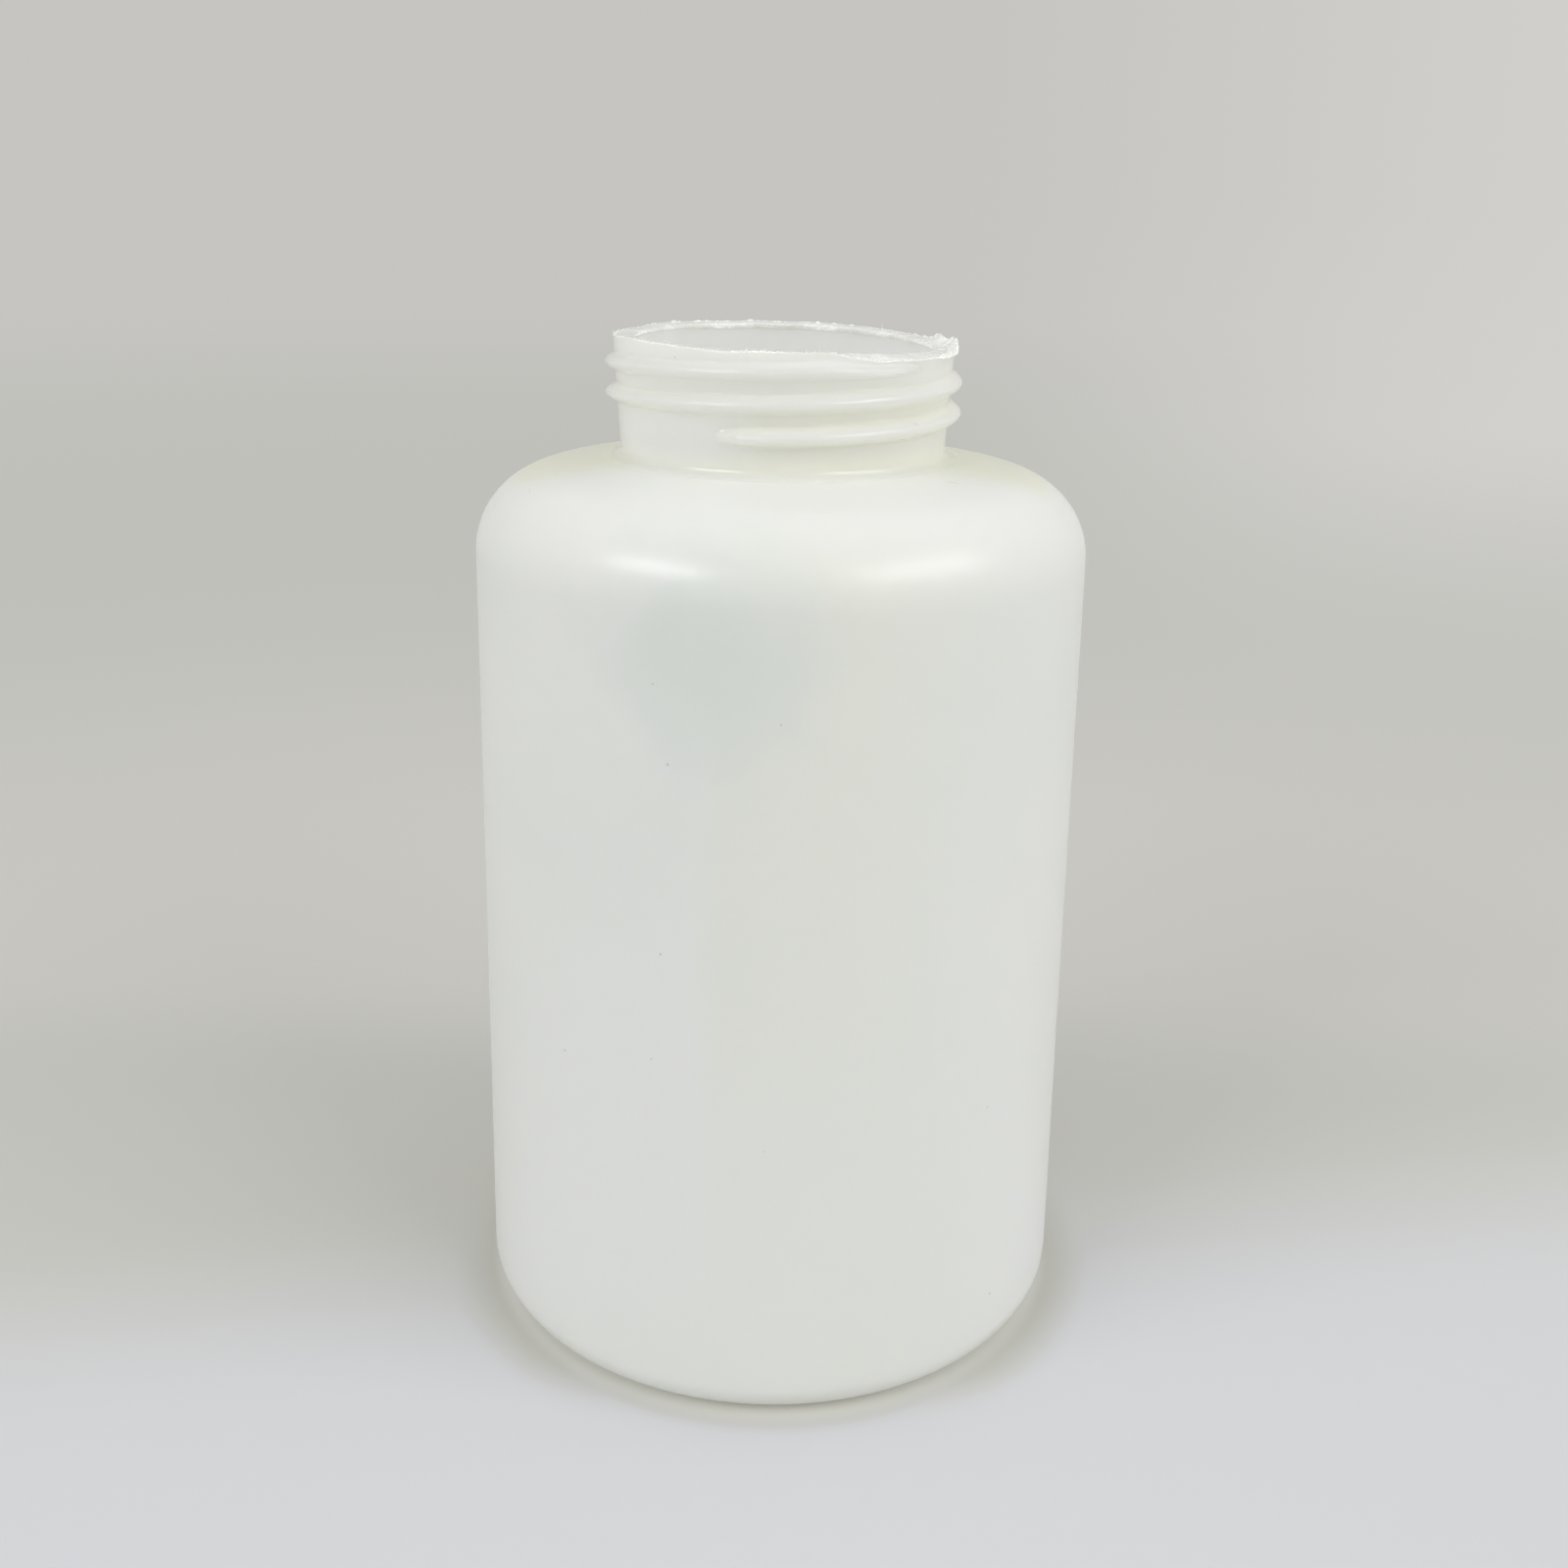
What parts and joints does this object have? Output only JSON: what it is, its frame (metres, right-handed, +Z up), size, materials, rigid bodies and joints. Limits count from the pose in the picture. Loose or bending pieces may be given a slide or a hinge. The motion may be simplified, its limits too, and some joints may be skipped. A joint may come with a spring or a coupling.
{
  "type": "reagent bottle",
  "caption": "Squat round wide-mouth bottle in milky natural plastic, with a short threaded neck, a knife-trimmed rim and a pushed-up base; it holds reagents and powders.",
  "frame": {"origin": "centre of the foot ring, on the surface that the bottle stands on", "axes": "+Z is up the bottle's axis, out of the mouth; -Y faces the front, where the thread starts; +X is to the right"},
  "size_m": [0.08, 0.08, 0.1336],
  "materials": {
    "natural_polyethylene": "satin, milky and translucent"
  },
  "bodies": {
    "root": {"bottle": "natural_polyethylene"}
  },
  "joints": []
}
